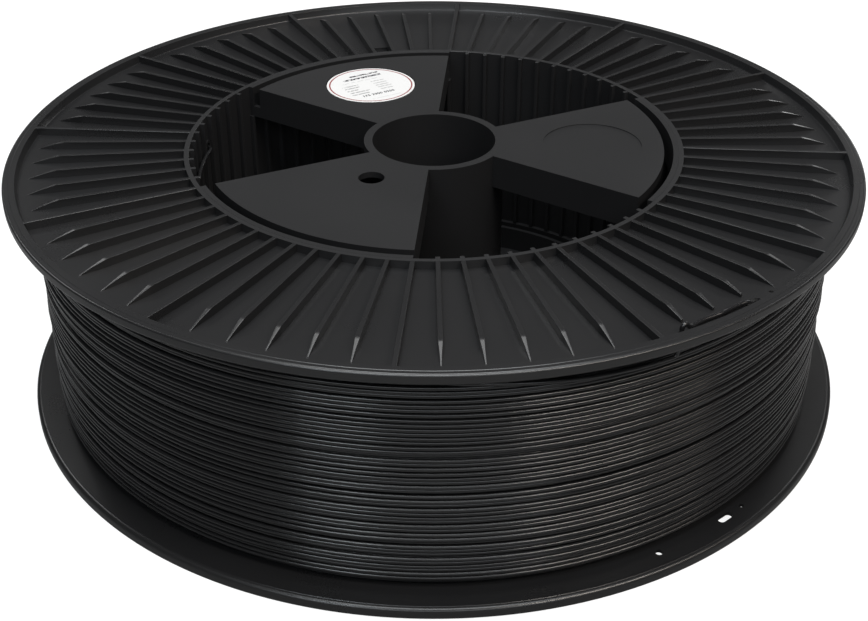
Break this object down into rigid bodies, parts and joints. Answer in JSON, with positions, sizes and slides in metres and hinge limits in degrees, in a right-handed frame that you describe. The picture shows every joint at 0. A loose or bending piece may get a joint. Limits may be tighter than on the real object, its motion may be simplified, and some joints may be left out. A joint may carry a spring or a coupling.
{
  "type": "filament spool",
  "caption": "Large black plastic filament spool with ribbed flanges, a three-armed hub with a driving hole in each end, and a full winding of filament.",
  "frame": {"origin": "centre of the back face, on the bore's axis", "axes": "+Z along the bore towards the front flange, with the driving hole of the front hub in the -X -Y quarter"},
  "size_m": [0.35, 0.35, 0.1025],
  "materials": {
    "flange_plastic": "satin black moulded plastic with a fine grain",
    "drum_plastic": "satin black moulded plastic",
    "hub_plastic": "satin black moulded plastic with a fine grain",
    "filament": "soft satin black filament",
    "label_paper": "white printed paper"
  },
  "bodies": {
    "root": {"front_flange": "flange_plastic", "back_flange": "flange_plastic", "drum": "drum_plastic", "front_hub": "hub_plastic", "back_hub": "hub_plastic", "winding_core": "filament", "winding_outer_layer": "filament", "filament_end": "filament", "filament_start": "filament", "label": "label_paper"}
  },
  "joints": []
}
